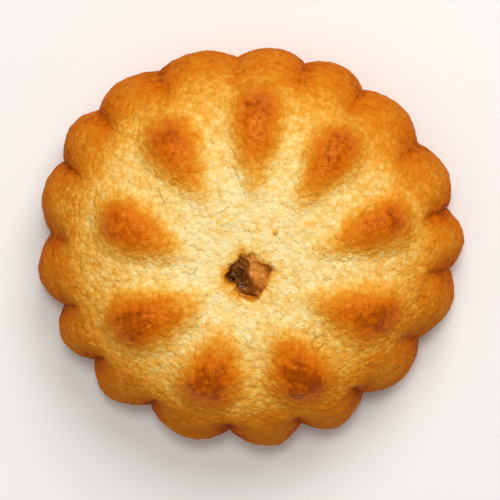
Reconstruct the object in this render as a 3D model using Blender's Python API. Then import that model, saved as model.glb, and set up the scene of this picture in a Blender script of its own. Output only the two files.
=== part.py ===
"""Date-filled maamoul: a moulded semolina cookie with petals on top, a fluted side and date paste in its pit."""

import math

import bmesh
import bpy

MM = 0.001

# Driving sizes of the cookie, in millimetres.
LENGTH = 48.5            # across the flutes' tips, along X
WIDTH = 45.5             # across the flutes' tips, along Y
DOME_HEIGHT = 17.4       # the dome's middle, before the pattern is pressed in
BELLY_HEIGHT = 5.2       # where the side is widest
BASE_TUCK = 0.06         # how far the side draws in below the belly, as a share of the radius
DOME_POWER = 3.4         # higher is a flatter top

# The pattern pressed into the top. Its hub lies off the outline's centre, and every
# petal lies on a straight line from the hub to the outline. A place on such a line is
# given as a share: 0 at the hub, 1 at the outline.
HUB = (0.6, -2.9)
PETALS = (               # angle of each petal, and the places of its pointed and its blunt end
    (16.3, 0.26, 0.82), (52.0, 0.32, 0.84), (85.5, 0.27, 0.89), (120.5, 0.32, 0.81), (161.7, 0.21, 0.75),
    (210.3, 0.12, 0.77), (253.7, 0.19, 0.80), (294.6, 0.24, 0.81), (336.2, 0.22, 0.835),
)
PETAL_WIDTH = 8.8
PETAL_RISE = 1.7         # above the grooves beside it
PETAL_TAPER = 0.75       # how it widens from the inner end: 1 is straight, less is fuller
PETAL_BLUNTNESS = 5.0    # higher is a blunter outer end
PETAL_FOOT = 1.6         # higher is a foot that runs out more softly into the grooves
PETAL_SINK = 1.7         # higher is a lower, softer pointed end
CENTRE_DIP = 0.3
CENTRE_DIP_END = 0.36

# The flutes down the side.
FLUTES = 17
FLUTE_TURN = 2.4         # angle of the first flute's ridge
FLUTE_WANDER = 3.2       # how far, in degrees, the flutes drift from an even spacing round the cookie
FLUTE_STRAY = 1.5        # and how far, in degrees, each strays from its neighbours
FLUTE_DEPTH = 1.5
FLUTE_ROUNDNESS = 0.9    # lower is a rounder ridge with a narrower valley
FLUTE_START = 0.80
FLUTE_FULL = 0.94

# No two petals or flutes are alike: sizes differ by these shares.
UNEVEN_PETAL = 0.10
UNEVEN_FLUTE = 0.30
UNEVEN_OUTLINE = 0.012
OUTLINE_TURN = 0.6       # where the outline bulges, in radians

# The pit in the middle, and the date paste that shows in it.
PIT_FLOOR = 0.090        # its width, as a share of the outline's
PIT_MOUTH = 0.098
PIT_LIP = 0.142
PIT_DEPTH = 3.2
PIT_LIP_DROP = 0.6
FILLING_GAP = 0.3
FILLING_HEIGHT = 1.8     # in its middle, above the pit's floor
FILLING_CROWN = 0.4      # how much higher its middle stands than its edge
FILLING_LEAN = 0.75      # how much higher one side stands than its middle
FILLING_FACING = 25.0    # the direction of that side
FILLING_LUMP = 0.2
FILLING_LUMPS = (2.3, 2.9)   # how close the lumps lie along X and Y, in radians for each millimetre

# How finely the surfaces are cut.
STEPS_PER_FLUTE = 8
TOP_RINGS = 15
SHOULDER_RINGS = 8
TUCK_RINGS = 3
FILLING_STEPS = 24
FILLING_RINGS = 4

STEPS = FLUTES * STEPS_PER_FLUTE

# A petal's width along its length is along ** PETAL_TAPER * sqrt(1 - along ** PETAL_BLUNTNESS),
# divided by the most that this comes to.
FULLEST = (2 * PETAL_TAPER / (PETAL_BLUNTNESS + 2 * PETAL_TAPER)) ** (1 / PETAL_BLUNTNESS)
FULL = FULLEST ** PETAL_TAPER * math.sqrt(1 - FULLEST ** PETAL_BLUNTNESS)


def wave(number, seed):
    """A repeatable value from -1 to 1 for a numbered petal or flute."""
    return math.sin(12.9898 * number + 78.233 * seed)


def ease(low, high, value):
    """0 up to low, 1 from high, with a smooth step between."""
    share = min(max((value - low) / (high - low), 0.0), 1.0)
    return share * share * (3 - 2 * share)


def flute_angle(flute):
    """Angle of a flute's ridge, in radians. A number between two flutes gives an angle between them."""
    turn = 2 * math.pi * flute / FLUTES
    drift = FLUTE_WANDER * (1 - math.cos(turn)) + FLUTE_STRAY * math.sin(5 * turn)
    return turn + math.radians(FLUTE_TURN - drift)


def outline(angle):
    """The outline through the flutes' tips, in millimetres."""
    reach = 1 + UNEVEN_OUTLINE * (math.sin(3 * angle + OUTLINE_TURN) + math.cos(5 * angle) / 2)
    return reach * LENGTH / 2 * math.cos(angle), reach * WIDTH / 2 * math.sin(angle)


def flute_valley(step):
    """0 on a flute's ridge and 1 in the valley between two, for a column of the mesh."""
    flute = step / STEPS_PER_FLUTE
    depth = 1 + UNEVEN_FLUTE * wave(round(flute) % FLUTES, 1)
    return depth * (1 - abs(math.cos(math.pi * flute)) ** FLUTE_ROUNDNESS)


def place(step, share):
    """Where a column of the mesh crosses a share of the way from the hub to the outline."""
    angle = flute_angle(step / STEPS_PER_FLUTE)
    edge_x, edge_y = outline(angle)
    x = HUB[0] + (edge_x - HUB[0]) * share
    y = HUB[1] + (edge_y - HUB[1]) * share
    inward = FLUTE_DEPTH * flute_valley(step) * ease(FLUTE_START, FLUTE_FULL, share)
    shrink = 1 - inward / math.hypot(edge_x, edge_y)
    return angle, x * shrink, y * shrink


def petal_lift(angle, share):
    """Height of the petal at this place, above the grooves."""
    lift = 0.0
    edge = outline(angle)
    for number, (petal_angle, start, end) in enumerate(PETALS):
        along = (share - start) / (end - start)
        if not 0 < along < 1:
            continue
        axis = outline(math.radians(petal_angle))
        across = share * math.hypot(edge[0] - axis[0], edge[1] - axis[1])
        blunt = math.sqrt(1 - along ** PETAL_BLUNTNESS)
        fullness = along ** PETAL_TAPER * blunt / FULL
        half_width = PETAL_WIDTH / 2 * (1 + UNEVEN_PETAL * wave(number, 4)) * fullness
        if across < half_width:
            rise = PETAL_RISE * (1 + UNEVEN_PETAL * wave(number, 5)) * fullness ** PETAL_SINK * blunt
            lift = max(lift, rise * (1 - (across / half_width) ** 2) ** PETAL_FOOT)
    return lift


def dome(share):
    return BELLY_HEIGHT + (DOME_HEIGHT - BELLY_HEIGHT) * math.sqrt(1 - min(share, 1.0) ** DOME_POWER)


def top(angle, share):
    """Height of the pressed top at this place."""
    dip = CENTRE_DIP * (1 - ease(PIT_LIP, CENTRE_DIP_END, share))
    return dome(share) - dip + petal_lift(angle, share)


def pit_floor_height():
    return dome(0) - CENTRE_DIP - PIT_DEPTH


def dough_rings():
    """The share and height of each ring, from the pit's floor to the base. A pressed ring's height is None."""
    mouth_height = dome(0) - CENTRE_DIP - PIT_LIP_DROP
    rings = [(PIT_FLOOR, pit_floor_height()), (PIT_MOUTH, mouth_height)]
    for ring in range(TOP_RINGS):
        rings.append((PIT_LIP + (FLUTE_START - PIT_LIP) * ring / TOP_RINGS, None))
    first = math.asin(FLUTE_START ** (DOME_POWER / 2))
    for ring in range(SHOULDER_RINGS + 1):
        turn = first + (math.pi / 2 - first) * ring / SHOULDER_RINGS
        rings.append((math.sin(turn) ** (2 / DOME_POWER), None))
    for ring in range(1, TUCK_RINGS + 1):
        turn = math.pi / 2 * ring / TUCK_RINGS
        rings.append((1 - BASE_TUCK * (1 - math.cos(turn)), BELLY_HEIGHT * (1 - math.sin(turn))))
    return rings


def skin(work, rings):
    """Faces between each ring of vertices and the next, and a cap on the first and the last."""
    for inner, outer in zip(rings, rings[1:]):
        for step, corner in enumerate(inner):
            ahead = (step + 1) % len(inner)
            work.faces.new((corner, outer[step], outer[ahead], inner[ahead]))
    work.faces.new(rings[0])
    work.faces.new(reversed(rings[-1]))


def material(name, colour, roughness):
    made = bpy.data.materials.new(name)
    made.use_nodes = True
    shader = made.node_tree.nodes["Principled BSDF"]
    shader.inputs["Base Color"].default_value = (*colour, 1.0)
    shader.inputs["Roughness"].default_value = roughness
    shader.inputs["Metallic"].default_value = 0.0
    return made


def finish(name, work, finish_material):
    """The object made from a bmesh in millimetres, smooth but for its base's edge."""
    bmesh.ops.scale(work, vec=(MM, MM, MM), verts=work.verts)
    mesh = bpy.data.meshes.new(name)
    work.to_mesh(mesh)
    work.free()
    mesh.shade_smooth()
    mesh.set_sharp_from_angle(angle=math.radians(60))
    mesh.materials.append(finish_material)
    part = bpy.data.objects.new(name, mesh)
    bpy.context.scene.collection.objects.link(part)
    return part


def baked_dough():
    work = bmesh.new()
    rings = []
    for share, height in dough_rings():
        ring = []
        for step in range(STEPS):
            angle, x, y = place(step, share)
            ring.append(work.verts.new((x, y, top(angle, share) if height is None else height)))
        rings.append(ring)
    skin(work, rings)
    return finish("baked_dough", work, material("Baked semolina dough", (0.67, 0.33, 0.09), 0.7))


def date_filling():
    """The lump of paste in the pit: flat below, and on top crowned, lumpy and higher on one side."""
    work = bmesh.new()
    floor = pit_floor_height() + FILLING_GAP
    reach = PIT_FLOOR * min(LENGTH, WIDTH) / 2 - FILLING_GAP
    middle_x, middle_y = (hub * (1 - PIT_FLOOR) for hub in HUB)
    rings = [[] for _ in range(FILLING_RINGS + 1)]
    for step in range(FILLING_STEPS):
        angle = 2 * math.pi * step / FILLING_STEPS
        facing = math.cos(angle - math.radians(FILLING_FACING))
        for ring in range(FILLING_RINGS):
            share = (ring + 1) / FILLING_RINGS
            x, y = reach * share * math.cos(angle), reach * share * math.sin(angle)
            lump = FILLING_LUMP * math.sin(FILLING_LUMPS[0] * x) * math.cos(FILLING_LUMPS[1] * y)
            height = FILLING_HEIGHT - FILLING_CROWN * share ** 2 + FILLING_LEAN * share * facing + lump
            rings[ring].append(work.verts.new((middle_x + x, middle_y + y, floor + height)))
        edge_x, edge_y = middle_x + reach * math.cos(angle), middle_y + reach * math.sin(angle)
        rings[-1].append(work.verts.new((edge_x, edge_y, floor)))
    skin(work, rings)
    return finish("date_filling", work, material("Date paste", (0.12, 0.035, 0.012), 0.45))


def main():
    for old in list(bpy.data.objects):
        bpy.data.objects.remove(old, do_unlink=True)
    baked_dough()
    date_filling()


main()
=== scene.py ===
"""The looks of a date-filled maamoul: pressed and browned dough, semolina grains, crumbs and date paste."""

import math

import bpy
from mathutils import Matrix, Vector, noise


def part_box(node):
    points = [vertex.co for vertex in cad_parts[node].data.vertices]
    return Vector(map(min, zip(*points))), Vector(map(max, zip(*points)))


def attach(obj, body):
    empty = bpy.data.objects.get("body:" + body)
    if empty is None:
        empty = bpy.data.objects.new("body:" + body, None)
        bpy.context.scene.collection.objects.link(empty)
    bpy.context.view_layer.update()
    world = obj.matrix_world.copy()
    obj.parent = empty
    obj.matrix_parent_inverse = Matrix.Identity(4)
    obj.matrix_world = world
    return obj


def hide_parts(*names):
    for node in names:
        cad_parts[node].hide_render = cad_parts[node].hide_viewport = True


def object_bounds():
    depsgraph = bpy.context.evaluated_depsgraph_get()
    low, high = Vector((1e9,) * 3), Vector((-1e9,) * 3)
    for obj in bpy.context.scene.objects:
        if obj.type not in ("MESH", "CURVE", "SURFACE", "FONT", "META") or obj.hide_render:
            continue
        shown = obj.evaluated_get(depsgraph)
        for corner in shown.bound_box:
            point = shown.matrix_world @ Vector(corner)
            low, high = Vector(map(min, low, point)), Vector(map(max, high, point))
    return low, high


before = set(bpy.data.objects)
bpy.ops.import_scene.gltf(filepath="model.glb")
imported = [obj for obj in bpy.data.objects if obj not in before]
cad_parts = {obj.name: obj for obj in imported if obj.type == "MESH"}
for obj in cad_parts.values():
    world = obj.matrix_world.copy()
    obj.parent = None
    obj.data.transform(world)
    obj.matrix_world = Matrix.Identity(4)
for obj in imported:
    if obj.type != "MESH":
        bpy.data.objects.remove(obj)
CAD_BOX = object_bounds()

bl_info = {
    "name": "Maamoul Maker",
    "version": (1, 0, 0),
    "blender": (4, 5, 0),
    "location": "3D Viewport > Sidebar > Maamoul",
    "description": "Makes a date-filled maamoul, and a small stage to look at it",
    "category": "Add Mesh",
}

MM = 0.001

# Each petal's angle in degrees, and the places of its pointed and its blunt end. A place is a share of
# the way from the hub, at 0, to the outline, at 1.
PETALS = (
    (16.3, 0.26, 0.82), (52.0, 0.32, 0.84), (85.5, 0.27, 0.89), (120.5, 0.32, 0.81), (161.7, 0.21, 0.75),
    (210.3, 0.12, 0.77), (253.7, 0.19, 0.80), (294.6, 0.24, 0.81), (336.2, 0.22, 0.835),
)
FLUTES = 17
WAVE_STEP = 12.9898      # the wave that makes petals and flutes differ, as in the solid
WAVE_SEED = 78.233
WIDTH_SEED = 4           # of the petals' widths
RISE_SEED = 5            # of their heights
DEPTH_SEED = 1           # of the flutes' depths
OUTLINE_TURN = 0.6       # where the outline bulges, in radians

# Where a petal browns: along it, in shares of its length, and across it, in shares of its half width.
BROWNS_IN = (0.0, 0.62)      # fading in from the pointed end
BROWNS_OUT = (0.775, 1.0)    # fading out to the blunt end
CORE = (0.22, 0.66)          # where the dark middle fades out
HALO = (0.5, 1.0)            # where the paler brown round it fades out
CORE_SHARE = 0.6             # how much of the browning is the dark middle's

# How finely the dough and the paste are cut, in rings and columns.
STEPS_PER_FLUTE = 30
PIT_RINGS = 10
LIP_RINGS = 6
TOP_RINGS = 66
SHOULDER_RINGS = 46
TUCK_RINGS = 22
UNDER_RINGS = 22
FIRST_RING = 0.5         # the ring inside the pit's floor, as a share of that floor
PASTE_STEPS = 128
PASTE_RINGS = 44


def length(name, millimetres, description):
    """A property that holds a length in metres."""
    return bpy.props.FloatProperty(
        name=name, description=description, default=millimetres * MM, subtype="DISTANCE", unit="LENGTH",
        precision=5,
    )


def angle(name, degrees, description):
    """A property that holds an angle."""
    return bpy.props.FloatProperty(
        name=name, description=description, default=math.radians(degrees), subtype="ANGLE", unit="ROTATION"
    )


def share(name, value, description):
    """A property that holds a share or a plain factor."""
    return bpy.props.FloatProperty(name=name, description=description, default=value, precision=3)


def linear(code):
    """Linear RGBA from an sRGB hex code."""
    parts = [int(code[place:place + 2], 16) / 255 for place in (1, 3, 5)]
    return (*(part / 12.92 if part <= 0.04045 else ((part + 0.055) / 1.055) ** 2.4 for part in parts), 1.0)


def tint(name, code, description):
    """A property that holds a colour, given as sRGB hex."""
    return bpy.props.FloatVectorProperty(
        name=name, description=description, default=linear(code)[:3], subtype="COLOR", size=3,
        min=0.0, max=1.0,
    )


class MaamoulShape(bpy.types.PropertyGroup):
    """Sizes of the cookie. All but the pit's ragged edge are the solid's too."""

    across: length("Length", 48.5, "Outline across the flutes' tips, along X")
    deep: length("Width", 45.5, "Outline across the flutes' tips, along Y")
    dome_height: length("Dome height", 17.4, "Middle of the dome before the pattern is pressed in")
    belly_height: length("Belly height", 5.2, "Height at which the side is widest")
    base_tuck: share("Base tuck", 0.06, "How far the side draws in below the belly")
    dome_power: share("Dome flatness", 3.4, "Higher gives a flatter top")
    hub: bpy.props.FloatVectorProperty(
        name="Hub", description="Where the petals' lines meet", default=(0.6 * MM, -2.9 * MM), size=2,
        subtype="XYZ", unit="LENGTH",
    )
    petal_width: length("Petal width", 8.8, "Widest part of a petal")
    petal_rise: length("Petal rise", 1.7, "Height of a petal above the grooves")
    petal_taper: share("Petal taper", 0.75, "1 widens it straight, less makes it fuller")
    petal_bluntness: share("Petal bluntness", 5.0, "Higher gives a blunter outer end")
    petal_foot: share("Petal foot", 1.6, "Higher runs out more softly into the grooves")
    petal_sink: share("Petal sink", 1.7, "Higher gives a lower, softer pointed end")
    centre_dip: length("Centre dip", 0.3, "How far the middle lies below the dome")
    centre_dip_end: share("Centre dip end", 0.36, "Where that dip ends")
    flute_turn: angle("Flute turn", 2.4, "Angle of the first flute's ridge")
    flute_wander: angle("Flute wander", 3.2, "How far the flutes drift from an even spacing round the cookie")
    flute_stray: angle("Flute stray", 1.5, "How far each flute strays from its neighbours")
    flute_depth: length("Flute depth", 1.5, "Depth of the valleys between the flutes")
    flute_roundness: share("Flute roundness", 0.9, "Lower gives rounder ridges and narrower valleys")
    flute_start: share("Flute start", 0.80, "Where the flutes begin on the shoulder")
    flute_full: share("Flute full", 0.94, "Where the flutes reach their full depth")
    uneven_petal: share("Uneven petals", 0.10, "Share by which petals differ")
    uneven_flute: share("Uneven flutes", 0.30, "Share by which flutes differ")
    uneven_outline: share("Uneven outline", 0.012, "Share by which the outline wanders")
    pit_floor: share("Pit floor", 0.090, "Width of the pit's floor, as a share of the outline")
    pit_mouth: share("Pit mouth", 0.098, "Width of the pit's mouth")
    pit_lip: share("Pit lip", 0.142, "Where the pit's rounded lip ends")
    pit_depth: length("Pit depth", 3.2, "From the dipped middle down to the pit's floor")
    pit_lip_drop: length("Pit lip drop", 0.6, "How far the lip rolls down into the pit")
    pit_ragged: share("Ragged pit", 0.22, "Share by which the pit's edge wanders")


class MaamoulSurface(bpy.types.PropertyGroup):
    """The unevenness of hand-pressed, baked dough."""

    lump_size: length("Lump size", 9.0, "Width of the soft lumps in the dough")
    lump_height: length("Lump height", 0.28, "Height of those lumps")
    knead_size: length("Knead size", 2.4, "Width of the small swellings")
    knead_height: length("Knead height", 0.15, "Height of those swellings")
    grain_size: length("Grain size", 0.8, "Width of the semolina relief")
    grain_height: length("Grain height", 0.12, "Height of that relief")
    crack_reach: share("Crack reach", 0.10, "How far the tears run out from the pit")
    crack_depth: length("Crack depth", 0.22, "Depth of those tears")
    petal_bake: share("Petal bake", 0.65, "How much browner a petal is than the grooves beside it")
    # Valley shade: the flutes' valleys are painted darker, as the shade that falls in them.
    valley_shade: share("Valley shade", 0.28, "How much browner the flutes' valleys are than their ridges")
    # Side shade: the -Y side of the top is painted darker, as shade from the light on +Y.
    side_shade: share("Side shade", 0.12, "How much browner the -Y side of the top is than its middle")
    patchy_bake: share("Patchy bake", 0.30, "How unevenly the oven browns")
    seed: bpy.props.IntProperty(name="Seed", description="Changes the random relief and scatter", default=4)


class MaamoulColours(bpy.types.PropertyGroup):
    """Colours of the bake, from palest to darkest, and of the paste."""

    pale: tint("Pale", "#f6de9f", "Protected dough in the middle")
    straw: tint("Straw", "#f2c973", "Dough in the grooves")
    golden: tint("Golden", "#e8a43a", "Lightly browned dough between the petals")
    amber: tint("Amber", "#d88018", "Browned dough on the shoulder")
    # In the flutes' valleys this brown is painted shade; on the petals' tops it is their own browning.
    brown: tint("Brown", "#cc6303", "Petals' tops and the valleys between the flutes")
    dark: tint("Dark", "#9c4200", "The darkest spots on the petals")
    sheen: tint("Sheen", "#f59c55", "Light that the buttery crust throws back")
    # The paste's two colours are painted shade, low in the pit, and painted light, where it stands proud.
    paste: tint("Date paste", "#2e1406", "Date paste in the shade of the pit")
    paste_lit: tint("Date paste, light", "#dc8c34", "Date paste where it stands proud")


class MaamoulScatter(bpy.types.PropertyGroup):
    """Loose and half-sunk bits of semolina."""

    grains: bpy.props.IntProperty(
        name="Grains", description="Semolina grains that stand out on each square centimetre", default=190
    )
    smallest: length("Smallest grain", 0.09, "Radius of the smallest grain")
    largest: length("Largest grain", 0.20, "Radius of the largest grain")
    crumbs: bpy.props.IntProperty(
        name="Crumbs", description="Loose crumbs on each square centimetre round the pit", default=6
    )
    crumb_smallest: length("Smallest crumb", 0.09, "Radius of the smallest crumb")
    crumb_largest: length("Largest crumb", 0.19, "Radius of the largest crumb")


class MaamoulPaste(bpy.types.PropertyGroup):
    """The date paste that shows in the pit."""

    reach: share("Reach", 1.15, "Its width, as a share of the pit's: above 1 it runs in under the torn edge")
    low: length("Low side", 0.9, "Height of the sunken side, above the underside")
    high: length("High side", 2.7, "Height of the side that bulges up")
    facing: angle("Facing", 25, "Where the bulging side lies")
    crown: length("Crown", 0.5, "How much higher its middle stands than its edge")
    lump_size: length("Lump size", 1.9, "Width of its lumps")
    lump_height: length("Lump height", 0.6, "Height of its lumps")
    fold_size: length("Fold size", 0.9, "Width of the torn folds")
    fold_height: length("Fold height", 0.8, "Height of the torn folds")
    fibre_size: length("Fibre size", 0.35, "Width of the fruit's fibres")
    fibre_height: length("Fibre height", 0.10, "Height of the fruit's fibres")


class MaamoulStage(bpy.types.PropertyGroup):
    """The floor, the light and the camera."""

    azimuth: angle("Azimuth", 149, "The side that the camera leans to")
    elevation: angle("Elevation", 85, "Height of the camera, 90 is straight above")
    distance: length("Distance", 430, "From the camera to the cookie")
    frame_width: length("Frame width", 56.5, "What the picture takes in at the cookie")
    window: share("Window", 3.25, "Power of the large soft light")
    lamp: share("Lamp", 1.65, "Power of the small light overhead")
    room: share("Room", 0.23, "Strength of the light from all round")
    floor: tint("Floor", "#ecebe8", "Pale tabletop")


def wave(number, seed):
    """A repeatable value from -1 to 1 for a numbered petal or flute, as in the solid."""
    return math.sin(WAVE_STEP * number + WAVE_SEED * seed)


def flute_angle(shape, flute):
    """Angle of a flute's ridge. A number between two flutes gives an angle between them."""
    turn = math.tau * flute / FLUTES
    drift = shape.flute_wander * (1 - math.cos(turn)) + shape.flute_stray * math.sin(5 * turn)
    return turn + shape.flute_turn - drift


def outline(shape, angle):
    """The outline through the flutes' tips."""
    reach = 1 + shape.uneven_outline * (math.sin(3 * angle + OUTLINE_TURN) + math.cos(5 * angle) / 2)
    return reach * shape.across / 2 * math.cos(angle), reach * shape.deep / 2 * math.sin(angle)


def dome(shape, place):
    """Height of the unpressed dome, from the hub at 0 to the outline at 1."""
    rise = shape.dome_height - shape.belly_height
    return shape.belly_height + rise * math.sqrt(1 - min(place, 1.0) ** shape.dome_power)


def blank_rings(shape):
    """(place, height, top, under) of each ring of the unpressed dough, from the pit's floor to the underside.

    A ring of the domed top has no height yet. Its top is 1, and the underside's under is 1.
    """
    pit_floor = dome(shape, 0) - shape.centre_dip - shape.pit_depth
    lip_top = dome(shape, 0) - shape.centre_dip
    mouth = lip_top - shape.pit_lip_drop
    rings = [(shape.pit_floor * FIRST_RING, pit_floor, 0, 0)]
    for ring in range(PIT_RINGS):
        along = ring / PIT_RINGS
        rings.append((shape.pit_floor + (shape.pit_mouth - shape.pit_floor) * along,
                      pit_floor + (mouth - pit_floor) * along, 0, 0))
    for ring in range(LIP_RINGS):
        turn = math.pi / 2 * ring / LIP_RINGS
        rings.append((shape.pit_lip - (shape.pit_lip - shape.pit_mouth) * math.cos(turn),
                      mouth + shape.pit_lip_drop * math.sin(turn), ring / LIP_RINGS, 0))
    for ring in range(TOP_RINGS):
        place = shape.pit_lip + (shape.flute_start - shape.pit_lip) * ring / TOP_RINGS
        rings.append((place, None, 1, 0))
    first = math.asin(shape.flute_start ** (shape.dome_power / 2))
    for ring in range(SHOULDER_RINGS + 1):
        turn = first + (math.pi / 2 - first) * ring / SHOULDER_RINGS
        rings.append((math.sin(turn) ** (2 / shape.dome_power), None, 1, 0))
    for ring in range(1, TUCK_RINGS + 1):
        turn = math.pi / 2 * ring / TUCK_RINGS
        rings.append((1 - shape.base_tuck * (1 - math.cos(turn)),
                      shape.belly_height * (1 - math.sin(turn)), 0, 0))
    for ring in range(1, UNDER_RINGS):
        rings.append(((1 - shape.base_tuck) * (1 - ring / UNDER_RINGS), 0.0, 0, 1))
    return rings


def ease(low, high, value):
    """0 up to low, 1 from high, with a smooth step between."""
    part = min(max((value - low) / (high - low), 0.0), 1.0)
    return part * part * (3 - 2 * part)


def petal_ridge(shape, number, gap, place):
    """(height, browning) of a petal, each 0 to 1, at a place that lies gap away from its line."""
    _, start, end = PETALS[number]
    along = (place - start) / (end - start)
    if not 0 < along < 1:
        return 0.0, 0.0
    taper, bluntness = shape.petal_taper, shape.petal_bluntness
    fullest = (2 * taper / (bluntness + 2 * taper)) ** (1 / bluntness)
    full = fullest ** taper * math.sqrt(1 - fullest ** bluntness)
    blunt = math.sqrt(1 - along ** bluntness)
    fullness = along ** taper * blunt / full
    half_width = shape.petal_width / 2 * (1 + shape.uneven_petal * wave(number, WIDTH_SEED)) * fullness
    across = place * gap / half_width
    if across >= 1:
        return 0.0, 0.0
    rise = (1 + shape.uneven_petal * wave(number, RISE_SEED)) * fullness ** shape.petal_sink * blunt
    height = rise * (1 - across ** 2) ** shape.petal_foot
    lengthwise = ease(*BROWNS_IN, along) * (1 - ease(*BROWNS_OUT, along))
    core, halo = 1 - ease(*CORE, across), 1 - ease(*HALO, across)
    return height, lengthwise * (CORE_SHARE * core + (1 - CORE_SHARE) * halo)


def flute_valley(shape, flute, place):
    """0 on a flute's ridge and 1 in the valley between two, fading out over the shoulder."""
    depth = 1 + shape.uneven_flute * wave(round(flute) % FLUTES, DEPTH_SEED)
    ridge = abs(math.cos(math.pi * flute)) ** shape.flute_roundness
    return depth * (1 - ridge) * ease(shape.flute_start, shape.flute_full, place)


def ringed_mesh(name, points, poles, steps, values):
    """A closed mesh from rings of points in order, with a pole in the first ring and one in the last.

    The values are its attributes by name, and end with those of the poles.
    """
    last = len(points) - steps
    faces = []
    for inner in range(0, last, steps):
        outer = inner + steps
        for step in range(steps):
            ahead = (step + 1) % steps
            faces.append((inner + step, outer + step, outer + ahead, inner + ahead))
    for pole, ring in enumerate((0, last), len(points)):
        for step in range(steps):
            ends = (ring + step, ring + (step + 1) % steps)
            faces.append((pole, *(reversed(ends) if ring else ends)))
    mesh = bpy.data.meshes.new(name)
    mesh.from_pydata([*points, *poles], [], faces)
    for attribute, numbers in values.items():
        mesh.attributes.new(attribute, "FLOAT", "POINT").data.foreach_set("value", numbers)
    return mesh


def blank_dough(shape):
    """The unpressed dough as a mesh. Its attributes say where the press raises petals and cuts flutes."""
    steps = FLUTES * STEPS_PER_FLUTE
    columns = []
    for step in range(steps):
        flute = step / STEPS_PER_FLUTE
        edge = outline(shape, flute_angle(shape, flute))
        gaps = []
        for number, (petal_angle, _, _) in enumerate(PETALS):
            axis = outline(shape, math.radians(petal_angle))
            gaps.append((math.hypot(edge[0] - axis[0], edge[1] - axis[1]), number))
        columns.append((flute, edge, *min(gaps)))
    rings = blank_rings(shape)
    points = []
    values = {"place": [], "top": [], "under": [], "ridge": [], "browning": [], "valley": []}
    for place, height, top, under in rings:
        dip = shape.centre_dip * (1 - ease(shape.pit_lip, shape.centre_dip_end, place))
        for flute, edge, gap, number in columns:
            x = shape.hub[0] + (edge[0] - shape.hub[0]) * place
            y = shape.hub[1] + (edge[1] - shape.hub[1]) * place
            points.append((x, y, dome(shape, place) - dip if height is None else height))
            ridge, browning = petal_ridge(shape, number, gap, place) if height is None else (0.0, 0.0)
            found = (place, top, under, ridge, browning, flute_valley(shape, flute, place))
            for name, value in zip(values, found):
                values[name].append(value)
    for name, numbers in values.items():
        numbers += [0.0, float(name == "under")]
    poles = [(*shape.hub, rings[0][1]), (*shape.hub, 0.0)]
    return ringed_mesh("dough_crust", points, poles, steps, values)


BULGE = (-0.5, 0.5)      # where the paste's bulging side begins, and where it is full
FOLD_LEVEL = 0.25        # about the mean of the noise that folds it
THINNEST = 0.1 * MM


def paste_rise(paste, share_out, turn, x, y):
    """Height of the paste: it bulges on one side, and it is lumpy, folded and fibrous."""
    lump = noise.noise(Vector((x, y, 0.0)) / paste.lump_size)
    fold = FOLD_LEVEL - abs(noise.noise(Vector((x, y, paste.fold_size)) / paste.fold_size))
    fibre = noise.noise(Vector((x, y, 0.0)) / paste.fibre_size)
    bulging = share_out * math.cos(turn - paste.facing) + lump
    rise = paste.low + (paste.high - paste.low) * ease(*BULGE, bulging)
    rise += paste.lump_height * lump - paste.crown * share_out ** 2
    rise += paste.fold_height * fold + paste.fibre_height * fibre
    return rise


def paste_mesh(shape, paste, middle, bottom):
    """The paste as a mesh: rings over its uneven top, and a flat underside."""
    wall = shape.pit_mouth * min(shape.across, shape.deep) / 2
    points, proud = [], []
    for ring in range(1, PASTE_RINGS + 1):
        share_out = paste.reach * ring / PASTE_RINGS
        for step in range(PASTE_STEPS):
            turn = math.tau * step / PASTE_STEPS
            x, y = wall * share_out * math.cos(turn), wall * share_out * math.sin(turn)
            rise = paste_rise(paste, share_out, turn, x, y)
            points.append((middle.x + x, middle.y + y, bottom + max(rise, THINNEST)))
            proud.append(rise / paste.high)
    points += [(x, y, bottom) for x, y, _ in points[-PASTE_STEPS:]]
    proud += [0.0] * PASTE_STEPS

    # The pole in the first ring lies at that ring's mean height.
    height = sum(point[2] for point in points[:PASTE_STEPS]) / PASTE_STEPS
    poles = [(middle.x, middle.y, height), (middle.x, middle.y, bottom)]
    proud += [sum(proud[:PASTE_STEPS]) / PASTE_STEPS, 0.0]
    mesh = ringed_mesh("date_paste", points, poles, PASTE_STEPS, {"proud": proud})
    mesh.shade_smooth()
    return mesh


# The kinds of node that are used most.
MATHS = "ShaderNodeMath"
VECTORS = "ShaderNodeVectorMath"
SPAN = "ShaderNodeMapRange"      # takes a value, the range that it comes from and the range that it goes to
NOISE = "ShaderNodeTexNoise"
CELLS = "ShaderNodeTexVoronoi"
CHANCE = "FunctionNodeRandomValue"
MOVE = "GeometryNodeSetPosition"
NODE_SPACE = (220, 190)          # between two nodes of a tree, across and down
NODES_HIGH = 8                   # nodes in each column
NOISE_MEAN = 0.5


def add(tree, kind, inputs=(), operation=None, **settings):
    """One node of a tree, with its settings, values and links. A node as a value means its first output."""
    node = tree.nodes.new(kind)
    if operation:
        node.operation = operation
    for name, value in settings.items():
        setattr(node, name, value)
    for key, value in inputs.items() if isinstance(inputs, dict) else enumerate(inputs):
        if isinstance(value, bpy.types.Node):
            value = value.outputs[0]
        if isinstance(value, bpy.types.NodeSocket):
            tree.links.new(value, node.inputs[key])
        elif value is not None:
            node.inputs[key].default_value = value
    column, row = divmod(len(tree.nodes), NODES_HIGH)
    node.location = (NODE_SPACE[0] * column, -NODE_SPACE[1] * row)
    return node


def open_tree(name, sizes):
    """A Geometry Nodes tree with named inputs, given by kind, and the sockets of those inputs by name."""
    tree = bpy.data.node_groups.new(name, "GeometryNodeTree")
    tree.interface.new_socket("Geometry", in_out="INPUT", socket_type="NodeSocketGeometry")
    tree.interface.new_socket("Geometry", in_out="OUTPUT", socket_type="NodeSocketGeometry")
    for kind, names in sizes.items():
        for size in names:
            tree.interface.new_socket(size, in_out="INPUT", socket_type="NodeSocket" + kind)
    start = add(tree, "NodeGroupInput")
    return tree, {socket.name: socket for socket in start.outputs if socket.name}


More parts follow.
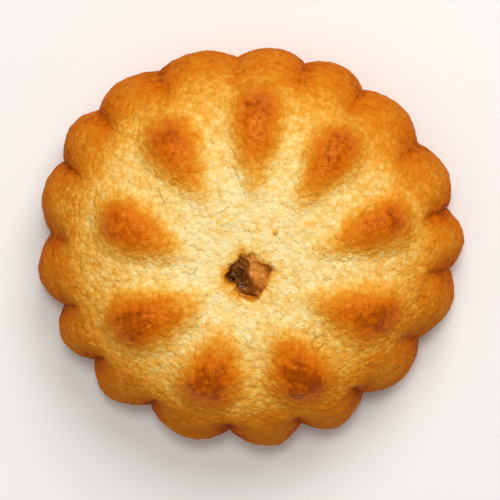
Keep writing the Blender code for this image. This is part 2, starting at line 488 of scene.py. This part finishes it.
def close_tree(tree, geometry, material):
    """Ends a tree in real mesh that carries its material."""
    real = add(tree, "GeometryNodeRealizeInstances", (geometry,))
    finished = add(tree, "GeometryNodeSetMaterial", {"Geometry": real, "Material": material})
    add(tree, "NodeGroupOutput", (finished,))


def placed(name, data):
    """A new object in the scene."""
    made = bpy.data.objects.new(name, data)
    bpy.context.scene.collection.objects.link(made)
    return made


def grown(name, mesh, tree, sizes):
    """The plain mesh object that a tree makes of a mesh. The tree's inputs are set by their identifiers."""
    blank = placed(name + "_blank", mesh)
    modifier = blank.modifiers.new(tree.name, "NODES")
    modifier.node_group = tree
    for item in tree.interface.items_tree:
        if item.in_out == "INPUT" and item.name in sizes:
            modifier[item.identifier] = sizes[item.name]
    bpy.context.view_layer.update()
    made = bpy.data.meshes.new_from_object(blank.evaluated_get(bpy.context.evaluated_depsgraph_get()))
    bpy.data.objects.remove(blank)
    made.name = name
    made.shade_smooth()
    return placed(name, made)


PRESS_SIZES = {
    "Float": (
        "Petal Rise", "Flute Depth", "Pit Mouth", "Pit Ragged", "Lump Size", "Lump Height", "Knead Size",
        "Knead Height", "Grain Size", "Grain Height", "Crack Reach", "Crack Depth", "Petal Bake",
        "Valley Shade", "Side Shade", "Half Width", "Patchy Bake", "Seed",
    ),
    "Vector": ("Hub",),
    "Material": ("Material",),
}

# How brown the grooves bake from the hub out to the base: (place, browning). The dark values in the pit, out
# to place 0.115, are painted shade; the rise over the side's base, from 0.86, is the base's own browning with
# painted shade added.
GROOVE_BAKE_AND_SHADE = (
    (0.0, 0.60), (0.09, 0.45), (0.115, 0.14), (0.16, 0.05), (0.30, 0.06), (0.40, 0.12), (0.50, 0.17),
    (0.60, 0.21), (0.70, 0.27), (0.80, 0.44), (0.86, 0.53), (0.92, 0.58), (1.0, 0.69),
)

# The torn edge of the pit, and the cracks round it.
LOBES = 1.3                  # scale of the edge's swings as it runs round the hub
NIBBLES = 0.7                # smaller bites out of it, in each millimetre
NIBBLE_SHARE = 0.35          # how much a bite counts beside a swing
TORN_RANGE = (0.47, 0.88)    # their sum where the edge lies furthest in and furthest out
TORN_BAND = 0.06             # how far on both sides of the mouth the dough is torn, as a place
CRACKS = 1.7                 # scale of the cracks as they follow each other round the hub
CRACK_BENDS = 0.6            # their bends, in each millimetre
CRACK_SWAY = 0.5             # how far they bend, on the scale of the cracks
CRACK_WIDTH = 0.09           # at the mouth, on the scale of the cracks
CRACK_SHADE = 0.2             # how much darker they are painted, as shade in them

# The oven, and the painted shade on the -Y side.
SHOULDER = (0.8, 0.95)       # the places over which the dough turns rougher
SHOULDER_ROUGH = 1.7         # how many times rougher it gets
SIDE_SHADE_ENDS = (0.8, 0.93)     # the places over which the painted shade on the -Y side fades out
PATCHES = 0.26               # uneven patches, in each millimetre
PROUD_BAKE = 0.5             # how much browner a place is for each millimetre that it stands proud


def press_move(tree, size, position, ridge, valley):
    """How the press moves the dough: the petals rise, and the flutes draw the side in."""
    lift = add(tree, MATHS, (ridge, size["Petal Rise"]), "MULTIPLY")
    cut = add(tree, MATHS, (valley, size["Flute Depth"]), "MULTIPLY")
    level = add(tree, VECTORS, (position, (-1.0, -1.0, 0.0)), "MULTIPLY")
    inward = add(tree, VECTORS, (level,), "NORMALIZE")
    cutting = add(tree, VECTORS, {0: inward, "Scale": cut}, "SCALE")
    lifting = add(tree, "ShaderNodeCombineXYZ", {"Z": lift})
    return add(tree, VECTORS, (cutting, lifting), "ADD")


def mouth_tear(tree, size, position, heading, from_mouth):
    """How far out the mouth of the pit is torn, as a share of its reach: it wanders in and out."""
    lobes = add(tree, NOISE, {"Vector": heading, "W": size["Seed"], "Scale": LOBES, "Detail": 1.0},
                noise_dimensions="4D")
    nibbles = add(tree, NOISE, {"Vector": position, "W": size["Seed"], "Scale": NIBBLES / MM, "Detail": 2.0},
                  noise_dimensions="4D")
    torn = add(tree, MATHS, (nibbles, NIBBLE_SHARE, lobes), "MULTIPLY_ADD")
    away = add(tree, MATHS, (from_mouth,), "ABSOLUTE")
    near_mouth = add(tree, SPAN, (away, 0.0, TORN_BAND, 1.0, 0.0), interpolation_type="SMOOTHSTEP")
    wander = add(tree, SPAN, (torn, *TORN_RANGE, -1.0, 1.0))
    tear = add(tree, MATHS, (wander, near_mouth), "MULTIPLY")
    return add(tree, MATHS, (tear, size["Pit Ragged"]), "MULTIPLY")


def dough_relief(tree, size, position):
    """How far lumps, kneading and grain stand out of the dough together."""
    relief = 0.0
    for which, depth in (("Lump", 1.0), ("Knead", 2.0), ("Grain", 3.0)):
        scale = add(tree, MATHS, (1.0, size[which + " Size"]), "DIVIDE")
        bumps = add(tree, NOISE, {
            "Vector": position, "W": size["Seed"], "Scale": scale, "Detail": depth, "Roughness": 0.55,
        }, noise_dimensions="4D")
        centred = add(tree, MATHS, (bumps, NOISE_MEAN), "SUBTRACT")
        doubled = add(tree, MATHS, (size[which + " Height"], 2.0), "MULTIPLY")
        relief = add(tree, MATHS, (centred, doubled, relief), "MULTIPLY_ADD")
    return relief


def fine_cracks(tree, size, position, heading, from_mouth):
    """1 in the cracks that run out from the pit, narrower and shallower as they go, and 0 beside them."""
    bends = add(tree, NOISE, {"Vector": position, "Scale": CRACK_BENDS / MM, "Detail": 2.0})
    bend = add(tree, VECTORS, (bends.outputs["Color"], (NOISE_MEAN,) * 3), "SUBTRACT")
    bent = add(tree, VECTORS, (bend, (CRACK_SWAY,) * 3, heading), "MULTIPLY_ADD")
    cells = add(tree, CELLS, {"Vector": bent, "Scale": CRACKS}, feature="DISTANCE_TO_EDGE")
    outward = add(tree, MATHS, (from_mouth, size["Crack Reach"]), "DIVIDE")
    closing = add(tree, SPAN, (outward, 0.0, 1.0, CRACK_WIDTH, 0.0))
    crack = add(tree, SPAN, (cells, 0.0, closing, 1.0, 0.0))
    shallower = add(tree, SPAN, (outward, 0.0, 1.0, 1.0, 0.0))
    return add(tree, MATHS, (crack, shallower), "MULTIPLY")


def groove_bake_and_shade(tree, place, under):
    """How brown the grooves bake, with painted shade in the pit and on the side's base. The underside browns
    like the base of the side.
    """
    outermost = add(tree, MATHS, (place, under), "MAXIMUM")
    groove = add(tree, "ShaderNodeFloatCurve", {"Value": outermost})
    curve = groove.mapping.curves[0]
    curve.points[0].location, curve.points[-1].location = GROOVE_BAKE_AND_SHADE[0], GROOVE_BAKE_AND_SHADE[-1]
    for point in GROOVE_BAKE_AND_SHADE[1:-1]:
        curve.points.new(*point)
    groove.mapping.update()
    return groove


def shaded_patchy_bake(tree, size, position, across, place, rougher, bake):
    """The bake with the -Y side painted darker, as shade from the light on +Y, and with patches."""
    sideways = add(tree, MATHS, (across, size["Half Width"]), "DIVIDE")
    on_top = add(tree, SPAN, (place, *SIDE_SHADE_ENDS, -1.0, 0.0))
    shade_lean = add(tree, MATHS, (sideways, on_top), "MULTIPLY")
    shade_lean = add(tree, MATHS, (shade_lean, size["Side Shade"]), "MULTIPLY")
    bake = add(tree, MATHS, (bake, shade_lean), "ADD")
    patches = add(tree, NOISE, {
        "Vector": position, "W": size["Seed"], "Scale": PATCHES / MM, "Detail": 4.0, "Roughness": 0.6,
    }, noise_dimensions="4D")
    patchy = add(tree, MATHS, (patches, NOISE_MEAN), "SUBTRACT")
    patchy = add(tree, MATHS, (patchy, rougher), "MULTIPLY")
    return add(tree, MATHS, (patchy, size["Patchy Bake"], bake), "MULTIPLY_ADD")


def press_tree():
    """The press and the oven: petals rise, flutes are cut, the surface breaks up and each place browns,
    with painted shade in the pit, the cracks, the flutes' valleys and on the -Y side.
    """
    tree, size = open_tree("Maamoul press", PRESS_SIZES)
    place, top, under, ridge, browning, valley = (
        add(tree, "GeometryNodeInputNamedAttribute", {"Name": name}, data_type="FLOAT")
        for name in ("place", "top", "under", "ridge", "browning", "valley")
    )
    position = add(tree, "GeometryNodeInputPosition")
    upper = add(tree, MATHS, (1.0, under), "SUBTRACT")
    from_hub = add(tree, VECTORS, (position, size["Hub"]), "SUBTRACT")
    spread = add(tree, VECTORS, (from_hub, (1.0, 1.0, 0.0)), "MULTIPLY")
    heading = add(tree, VECTORS, (spread,), "NORMALIZE")
    from_mouth = add(tree, MATHS, (place, size["Pit Mouth"]), "SUBTRACT")

    # The press comes down, and the dough tears round the pit.
    pressing = press_move(tree, size, position, ridge, valley)
    pressed = add(tree, MOVE, {"Geometry": size["Geometry"], "Offset": pressing})
    tear = mouth_tear(tree, size, position, heading, from_mouth)
    tear = add(tree, MATHS, (tear, upper), "MULTIPLY")
    tearing = add(tree, VECTORS, {0: spread, "Scale": tear}, "SCALE")
    opened = add(tree, MOVE, {"Geometry": pressed, "Offset": tearing})

    # The surface breaks up along its own direction. The underside stays flat.
    relief = dough_relief(tree, size, position)
    rougher = add(tree, SPAN, (place, *SHOULDER, 1.0, SHOULDER_ROUGH))
    relief_here = add(tree, MATHS, (relief, rougher), "MULTIPLY")
    cracked = fine_cracks(tree, size, position, heading, from_mouth)
    cracked = add(tree, MATHS, (cracked, top), "MULTIPLY")
    crack_cut = add(tree, MATHS, (cracked, size["Crack Depth"]), "MULTIPLY")
    surface = add(tree, MATHS, (relief_here, crack_cut), "SUBTRACT")
    roughened = add(tree, MATHS, (surface, upper), "MULTIPLY")
    normal = add(tree, "GeometryNodeInputNormal")
    roughening = add(tree, VECTORS, {0: normal, "Scale": roughened}, "SCALE")
    broken = add(tree, MOVE, {"Geometry": opened, "Offset": roughening})

    # Nothing reaches below the surface that the cookie stands on.
    parts = add(tree, "ShaderNodeSeparateXYZ", (position,))
    above_table = add(tree, MATHS, (parts.outputs["Z"], 0.0), "MAXIMUM")
    resting = add(tree, "ShaderNodeCombineXYZ", (parts.outputs["X"], parts.outputs["Y"], above_table))
    rested = add(tree, MOVE, {"Geometry": broken, "Position": resting})

    # Whatever stands proud browns first. The flutes' valleys and the cracks are painted darker, as shade that
    # falls in them, and the -Y side of the top is painted darker as shade from the light on +Y.
    bake = groove_bake_and_shade(tree, place, under)
    for raised, extra in (
        (browning, size["Petal Bake"]), (valley, size["Valley Shade"]), (cracked, CRACK_SHADE),
    ):
        bake = add(tree, MATHS, (raised, extra, bake), "MULTIPLY_ADD")
    bake = shaded_patchy_bake(tree, size, position, parts.outputs["Y"], place, rougher, bake)
    bake = add(tree, MATHS, (relief, PROUD_BAKE / MM, bake), "MULTIPLY_ADD")
    # The stored bake holds the dough's browning and its painted shade together.
    noted = add(tree, "GeometryNodeStoreNamedAttribute", {"Geometry": rested, "Name": "bake", "Value": bake},
                data_type="FLOAT", domain="POINT")
    close_tree(tree, noted, size["Material"])
    return tree


SCATTER_SIZES = {
    "Float": (
        "Density", "Smallest", "Largest", "Flatness", "Sunk", "Inner", "Outer", "Rough", "Paler", "Tone",
    ),
    "Int": ("Cuts", "Seed"),
    "Material": ("Material",),
}
SLIMMEST, STOUTEST = 0.7, 1.3    # width of a grain, as a share of its length
SIZE_SEED = 7.0                  # keeps a grain's size from following its tone
DENTS = 1.3                      # dents in a crumb, in each millimetre


def scatter_tree():
    """Grains or crumbs strewn over the dough. Each keeps the bake of the dough below it, painted shade
    included, a little changed.
    """
    tree, size = open_tree("Maamoul scatter", SCATTER_SIZES)
    place, under, bake = (
        add(tree, "GeometryNodeInputNamedAttribute", {"Name": name}, data_type="FLOAT")
        for name in ("place", "under", "bake")
    )
    past = add(tree, MATHS, (place, size["Inner"]), "GREATER_THAN")
    short = add(tree, MATHS, (place, size["Outer"]), "LESS_THAN")
    above = add(tree, MATHS, (under, 0.5), "LESS_THAN")
    within = add(tree, MATHS, (past, short), "MULTIPLY")
    within = add(tree, MATHS, (within, above), "MULTIPLY")
    density = add(tree, MATHS, (within, size["Density"]), "MULTIPLY")
    strewn = add(tree, "GeometryNodeDistributePointsOnFaces", {
        "Mesh": size["Geometry"], "Density": density, "Seed": size["Seed"],
    }, distribute_method="RANDOM")

    # Each has its own tone and size, and is sunk into the dough.
    chance = add(tree, CHANCE, {"Seed": size["Seed"]}).outputs[1]
    tone = add(tree, SPAN, (chance, 0.0, 1.0, -1.0, 1.0))
    toned = add(tree, MATHS, (tone, size["Tone"], bake), "MULTIPLY_ADD")
    toned = add(tree, MATHS, (toned, size["Paler"]), "SUBTRACT")
    points = add(tree, "GeometryNodeStoreNamedAttribute", {
        "Geometry": strewn.outputs["Points"], "Name": "bake", "Value": toned,
    }, data_type="FLOAT", domain="POINT")
    size_seed = add(tree, MATHS, (size["Seed"], SIZE_SEED), "ADD")
    radius = add(tree, CHANCE, {2: size["Smallest"], 3: size["Largest"], "Seed": size_seed}).outputs[1]
    depth = add(tree, MATHS, (radius, size["Sunk"]), "MULTIPLY")
    depth = add(tree, MATHS, (depth, -1.0), "MULTIPLY")
    sinking = add(tree, VECTORS, {0: strewn.outputs["Normal"], "Scale": depth}, "SCALE")
    points = add(tree, MOVE, {"Geometry": points, "Offset": sinking})

    # A grain is a flattened ball of its own width, turned at random.
    ball = add(tree, "GeometryNodeMeshIcoSphere", {"Radius": 1.0, "Subdivisions": size["Cuts"]})
    slim = add(tree, CHANCE, {2: SLIMMEST, 3: STOUTEST, "Seed": size["Seed"]}).outputs[1]
    wide = add(tree, MATHS, (radius, slim), "MULTIPLY")
    high = add(tree, MATHS, (radius, size["Flatness"]), "MULTIPLY")
    girth = add(tree, "ShaderNodeCombineXYZ", (radius, wide, high))
    turn = add(tree, CHANCE, {0: (0.0, 0.0, 0.0), 1: (0.0, 0.0, math.tau), "Seed": size["Seed"]},
               data_type="FLOAT_VECTOR")
    spun = add(tree, "FunctionNodeRotateRotation", {
        "Rotation": strewn.outputs["Rotation"], "Rotate By": turn,
    }, rotation_space="LOCAL")
    strewn_on = add(tree, "GeometryNodeInstanceOnPoints", {
        "Points": points, "Instance": ball, "Rotation": spun, "Scale": girth,
    })

    # A crumb is dented all round.
    real = add(tree, "GeometryNodeRealizeInstances", (strewn_on,))
    dents = add(tree, NOISE, {"Scale": DENTS / MM, "Detail": 1.0})
    dent = add(tree, MATHS, (dents, NOISE_MEAN), "SUBTRACT")
    dent = add(tree, MATHS, (dent, size["Rough"]), "MULTIPLY")
    normal = add(tree, "GeometryNodeInputNormal")
    dented = add(tree, VECTORS, {0: normal, "Scale": dent}, "SCALE")
    shaped = add(tree, MOVE, {"Geometry": real, "Offset": dented})
    close_tree(tree, shaped, size["Material"])
    return tree


def new_material(name, values):
    """(material, tree, shader) of a new node material, with the values of its shader."""
    made = bpy.data.materials.new(name)
    made.use_nodes = True
    shader = made.node_tree.nodes["Principled BSDF"]
    for socket, value in values.items():
        shader.inputs[socket].default_value = value
    return made, made.node_tree, shader


SEMOLINA = 0.6 * MM          # semolina is milled to about this size
BREAKS = 0.5 * MM            # how far the outlines of its grains are broken
GRAIN_TONE = 0.14            # how unevenly its grains brown
CREVICE_SHADE = 0.18          # how much darker the crevices between them are painted, as shade
MOTTLE_TONE = 0.26           # how much the whole is mottled
FLOUR_HEIGHT = 0.35          # relief of the fine flour, beside the grains'
CREVICE_DEPTH = 0.7
HAIRLINE_DEPTH = 0.6
HAIRLINE_BENDS = 1.4 * MM
HAIRLINE_WIDTH = 0.05        # as a share of the way from one hairline to the next
DRIED = (0.58, 0.72)         # the noise from which hairline cracks show, and where they are full

# From plain dough to the butter on a petal's top, which shows from this much browning.
BUTTER_FROM = 0.3
DULLNESS = (0.75, 0.3)
GLOSS = (0.06, 0.6)
RELIEF = (0.85, 0.45)


def dough_material(colours):
    """Baked semolina dough: buttered grains pressed in a mould, matte, pale where the oven reaches least."""
    made, tree, shader = new_material("Baked semolina dough", {
        "IOR": 1.45, "Specular Tint": (*colours.sheen, 1.0), "Subsurface Weight": 0.12,
        "Subsurface Radius": (1.0, 0.5, 0.2), "Subsurface Scale": 0.9 * MM,
    })
    where = add(tree, "ShaderNodeTexCoord").outputs["Object"]
    bake = add(tree, "ShaderNodeAttribute", attribute_name="bake").outputs["Fac"]
    petal = add(tree, "ShaderNodeAttribute", attribute_name="browning").outputs["Fac"]

    # The grains are broken, not round. Each takes the heat a little differently, the crevices between them
    # are painted darker as shade, and the whole is mottled.
    broken = add(tree, NOISE, {"Vector": where, "Scale": 1 / (0.45 * MM), "Detail": 2.0})
    milled = add(tree, VECTORS, (broken.outputs["Color"], (BREAKS,) * 3, where), "MULTIPLY_ADD")
    grains = add(tree, CELLS, {"Vector": milled, "Scale": 1 / SEMOLINA})
    grain = add(tree, "ShaderNodeSeparateColor", (grains.outputs["Color"],))
    mottle = add(tree, NOISE, {"Vector": where, "Scale": 1 / (1.6 * MM), "Detail": 4.0, "Roughness": 0.65})
    for tone, strength in ((grain, GRAIN_TONE), (grains, CREVICE_SHADE), (mottle, MOTTLE_TONE)):
        shift = add(tree, MATHS, (tone, NOISE_MEAN), "SUBTRACT")
        bake = add(tree, MATHS, (shift, strength, bake), "MULTIPLY_ADD")
    baked = add(tree, "ShaderNodeValToRGB", (bake,))
    stops = baked.color_ramp.elements
    stops.remove(stops[1])
    stops[0].color = (*colours.pale, 1.0)
    for amount, colour in (
        (0.14, colours.straw), (0.33, colours.golden), (0.54, colours.amber), (0.82, colours.brown),
        (1.0, colours.dark),
    ):
        stops.new(amount).color = (*colour, 1.0)

    # Butter comes to the surface where a petal browns, and gives it a soft sheen. The rest is dull.
    dullness = add(tree, SPAN, (petal, BUTTER_FROM, 1.0, *DULLNESS))
    gloss = add(tree, SPAN, (petal, BUTTER_FROM, 1.0, *GLOSS))

    # The grains stand out in relief, with fine flour between them, drawn at 0.2 mm so that it shows.
    coarse = add(tree, NOISE, {"Vector": where, "Scale": 1 / SEMOLINA, "Detail": 3.0, "Roughness": 0.6})
    fine = add(tree, NOISE, {"Vector": where, "Scale": 1 / (0.2 * MM), "Detail": 2.0})
    heights = add(tree, MATHS, (fine, FLOUR_HEIGHT, coarse), "MULTIPLY_ADD")
    heights = add(tree, MATHS, (grains, -CREVICE_DEPTH, heights), "MULTIPLY_ADD")

    # Where the crust dried first it has hairline cracks, in patches 4 mm across.
    wavy = add(tree, NOISE, {"Vector": where, "Scale": 1 / (1.2 * MM), "Detail": 3.0})
    bent = add(tree, VECTORS, (wavy.outputs["Color"], (HAIRLINE_BENDS,) * 3, where), "MULTIPLY_ADD")
    hairs = add(tree, CELLS, {"Vector": bent, "Scale": 1 / (2.6 * MM)}, feature="DISTANCE_TO_EDGE")
    hair = add(tree, SPAN, (hairs, 0.0, HAIRLINE_WIDTH, 1.0, 0.0))
    dried = add(tree, NOISE, {"Vector": where, "Scale": 1 / (4 * MM), "Detail": 1.0})
    patch = add(tree, SPAN, (dried, *DRIED, 0.0, 1.0))
    hairline = add(tree, MATHS, (hair, patch), "MULTIPLY")
    heights = add(tree, MATHS, (hairline, -HAIRLINE_DEPTH, heights), "MULTIPLY_ADD")

    # The mould presses the petals' tops smoother than the rest.
    relief = add(tree, SPAN, (petal, BUTTER_FROM, 1.0, *RELIEF))
    bump = add(tree, "ShaderNodeBump", {"Strength": relief, "Distance": 0.25 * MM, "Height": heights})
    for node, socket in (
        (baked, "Base Color"), (dullness, "Roughness"), (gloss, "Specular IOR Level"), (bump, "Normal"),
    ):
        tree.links.new(node.outputs[0], shader.inputs[socket])
    return made


FLECK_TONE = 1.3             # how much the paste's flecks differ


def paste_material(colours):
    """Date paste: cooked, kneaded and sticky, dark where it lies low in the pit and amber where it stands
    proud: painted shade and painted light on one paste.
    """
    made, tree, shader = new_material("Date paste", {
        "Roughness": 0.3, "IOR": 1.48, "Specular IOR Level": 0.4, "Specular Tint": (*colours.sheen, 1.0),
        "Coat Weight": 0.5, "Coat Roughness": 0.12, "Subsurface Weight": 0.06,
        "Subsurface Radius": (1.0, 0.35, 0.12), "Subsurface Scale": 0.6 * MM,
    })
    where = add(tree, "ShaderNodeTexCoord").outputs["Object"]
    # The colour follows how proud the paste stands: dark low down is painted shade, amber high up painted
    # light. The flecks are its own.
    proud = add(tree, "ShaderNodeAttribute", attribute_name="proud").outputs["Fac"]
    flecks = add(tree, NOISE, {"Vector": where, "Scale": 1 / (0.5 * MM), "Detail": 5.0, "Roughness": 0.65})
    shift = add(tree, MATHS, (flecks, NOISE_MEAN), "SUBTRACT")
    tone = add(tree, MATHS, (shift, FLECK_TONE, proud), "MULTIPLY_ADD")
    toned = add(tree, "ShaderNodeMix", {
        "Factor": tone, "A": (*colours.paste, 1.0), "B": (*colours.paste_lit, 1.0),
    }, data_type="RGBA")
    tree.links.new(toned.outputs["Result"], shader.inputs["Base Color"])

    # Fibres of the fruit, about 0.35 mm apart.
    fibres = add(tree, NOISE, {"Vector": where, "Scale": 1 / (0.35 * MM), "Detail": 4.0, "Distortion": 2.0})
    bump = add(tree, "ShaderNodeBump", {"Strength": 0.8, "Distance": 0.25 * MM, "Height": fibres})
    tree.links.new(bump.outputs["Normal"], shader.inputs["Normal"])
    return made


def settle(piece, node):
    """Puts a finished piece on the cookie: it joins the body, and the solid that it stands for is hidden."""
    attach(piece, "root")
    if node:
        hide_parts(node)


class MAAMOUL_OT_dough(bpy.types.Operator):
    """Press and bake the dough"""

    bl_idname = "maamoul.dough"
    bl_label = "Press the dough"

    def execute(self, context):
        shape, surface = context.scene.maamoul_shape, context.scene.maamoul_surface
        sizes = {
            "Hub": (*shape.hub, 0.0), "Half Width": shape.deep / 2, "Seed": float(surface.seed),
            "Material": dough_material(context.scene.maamoul_colours),
        }

        # The press's other inputs have the names of properties.
        for name in PRESS_SIZES["Float"]:
            if name not in sizes:
                field = name.lower().replace(" ", "_")
                sizes[name] = getattr(shape if hasattr(shape, field) else surface, field)
        piece = grown("dough_crust", blank_dough(shape), press_tree(), sizes)
        settle(piece, "baked_dough")
        return {"FINISHED"}


PER_CM2 = 1e4                    # a density on each square centimetre, as one on each square metre
CRUMB_SEED = 11                  # keeps the crumbs from lying where the grains lie


class MAAMOUL_OT_semolina(bpy.types.Operator):
    """Strew semolina grains and crumbs over the dough"""

    bl_idname = "maamoul.semolina"
    bl_label = "Strew the semolina"

    def execute(self, context):
        scatter, surface = context.scene.maamoul_scatter, context.scene.maamoul_surface
        dough = bpy.data.objects["dough_crust"]
        tree = scatter_tree()
        kinds = {
            "semolina_grains": {
                "Density": scatter.grains * PER_CM2, "Smallest": scatter.smallest,
                "Largest": scatter.largest, "Flatness": 0.7, "Sunk": 0.35, "Inner": 0.15, "Outer": 1.1,
                "Cuts": 1, "Rough": 0.0, "Paler": 0.03, "Tone": 0.10, "Seed": surface.seed,
            },
            "loose_crumbs": {
                "Density": scatter.crumbs * PER_CM2, "Smallest": scatter.crumb_smallest,
                "Largest": scatter.crumb_largest, "Flatness": 0.75, "Sunk": 0.35, "Inner": 0.13,
                "Outer": 0.3, "Cuts": 2, "Rough": 0.9 * MM, "Paler": -0.05, "Tone": 0.2,
                "Seed": surface.seed + CRUMB_SEED,
            },
        }
        for name, sizes in kinds.items():
            piece = grown(name, dough.data.copy(), tree, {**sizes, "Material": dough.data.materials[0]})
            settle(piece, None)
        return {"FINISHED"}


class MAAMOUL_OT_paste(bpy.types.Operator):
    """Fill the pit with date paste"""

    bl_idname = "maamoul.paste"
    bl_label = "Fill with date paste"

    def execute(self, context):
        low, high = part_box("date_filling")
        middle = (low + high) / 2
        mesh = paste_mesh(context.scene.maamoul_shape, context.scene.maamoul_paste, middle, low.z)
        mesh.materials.append(paste_material(context.scene.maamoul_colours))
        settle(placed("date_paste", mesh), "date_filling")
        return {"FINISHED"}


FLOOR_REACH = 1.5                # from its middle, in metres
FLOOR_GAP = 0.2 * MM             # keeps the floor and the underside from showing through each other
CEILING_SHARE = 0.5              # power of the light from above beside the window's
ROOM_COLOUR = (1.0, 0.96, 0.90, 1.0)     # linear


def lay_floor(stage):
    """A pale tabletop just below the cookie."""
    floor = bpy.data.meshes.new("floor")
    ways = ((-1, -1), (1, -1), (1, 1), (-1, 1))
    corners = [(FLOOR_REACH * x, FLOOR_REACH * y, -FLOOR_GAP) for x, y in ways]
    floor.from_pydata(corners, [], [(0, 1, 2, 3)])
    made, _, _ = new_material("Pale tabletop", {"Base Color": (*stage.floor, 1.0), "Roughness": 0.7})
    floor.materials.append(made)
    placed("tabletop", floor)


def hang_lights(scene, stage, middle):
    """A window, the ceiling that throws its light back, a lamp overhead and warm light from all round."""
    for name, place, across, power in (
        ("window", (0.16, 0.44, 0.56), 0.40, stage.window),
        ("ceiling", (-0.10, -0.05, 0.90), 0.80, stage.window * CEILING_SHARE),
        ("lamp", (0.02, 0.17, 0.75), 0.12, stage.lamp),
    ):
        light = bpy.data.lights.new(name, "AREA")
        light.size, light.energy = across, power
        lamp = placed(name, light)
        lamp.location = place
        lamp.rotation_euler = (Vector(place) - middle).to_track_quat("Z", "Y").to_euler()
    world = bpy.data.worlds.new("room")
    world.use_nodes = True
    background = world.node_tree.nodes["Background"]
    background.inputs["Color"].default_value = ROOM_COLOUR
    background.inputs["Strength"].default_value = stage.room
    scene.world = world


def set_camera(scene, stage, middle):
    """A camera that looks at the cookie, with +Y upwards in its picture."""
    back = Vector((math.sin(stage.azimuth) * math.cos(stage.elevation),
                   -math.cos(stage.azimuth) * math.cos(stage.elevation), math.sin(stage.elevation)))
    right = Vector((0.0, 1.0, 0.0)).cross(back).normalized()
    upward = back.cross(right)
    lens = bpy.data.cameras.new("camera")
    lens.lens = lens.sensor_width * stage.distance / stage.frame_width
    camera = placed("camera", lens)
    turned = Matrix((right, upward, back)).transposed().to_4x4()
    camera.matrix_world = Matrix.Translation(middle + back * stage.distance) @ turned
    scene.camera = camera


class MAAMOUL_OT_stage(bpy.types.Operator):
    """Set up the floor, the light and the camera"""

    bl_idname = "maamoul.stage"
    bl_label = "Set the stage"

    def execute(self, context):
        scene, stage = context.scene, context.scene.maamoul_stage
        low, high = CAD_BOX
        middle = (Vector(low) + Vector(high)) / 2
        lay_floor(stage)
        hang_lights(scene, stage, middle)
        set_camera(scene, stage, middle)
        scene.view_settings.view_transform = "Standard"
        return {"FINISHED"}


class MAAMOUL_PT_tools(bpy.types.Panel):
    """Lists the steps in the order in which a maamoul is made"""

    bl_idname = "MAAMOUL_PT_tools"
    bl_label = "Maamoul"
    bl_space_type = "VIEW_3D"
    bl_region_type = "UI"
    bl_category = "Maamoul"

    def draw(self, context):
        for step in STEPS:
            self.layout.operator(step.bl_idname)
        for group in GROUPS:
            box = self.layout.box()
            box.label(text=group)
            holder = getattr(context.scene, "maamoul_" + group)
            for name in holder.bl_rna.properties.keys():
                if name not in ("rna_type", "name"):
                    box.prop(holder, name)


STEPS = (MAAMOUL_OT_dough, MAAMOUL_OT_semolina, MAAMOUL_OT_paste, MAAMOUL_OT_stage)
GROUPS = {
    "shape": MaamoulShape, "surface": MaamoulSurface, "colours": MaamoulColours, "scatter": MaamoulScatter,
    "paste": MaamoulPaste, "stage": MaamoulStage,
}


def register():
    for made in (*GROUPS.values(), *STEPS, MAAMOUL_PT_tools):
        bpy.utils.register_class(made)
    for name, group in GROUPS.items():
        setattr(bpy.types.Scene, "maamoul_" + name, bpy.props.PointerProperty(type=group))


def unregister():
    for name in GROUPS:
        delattr(bpy.types.Scene, "maamoul_" + name)
    for made in (MAAMOUL_PT_tools, *STEPS, *GROUPS.values()):
        bpy.utils.unregister_class(made)


def main():
    register()
    bpy.ops.maamoul.dough()
    bpy.ops.maamoul.semolina()
    bpy.ops.maamoul.paste()
    bpy.ops.maamoul.stage()


if __name__ == "__main__":
    main()
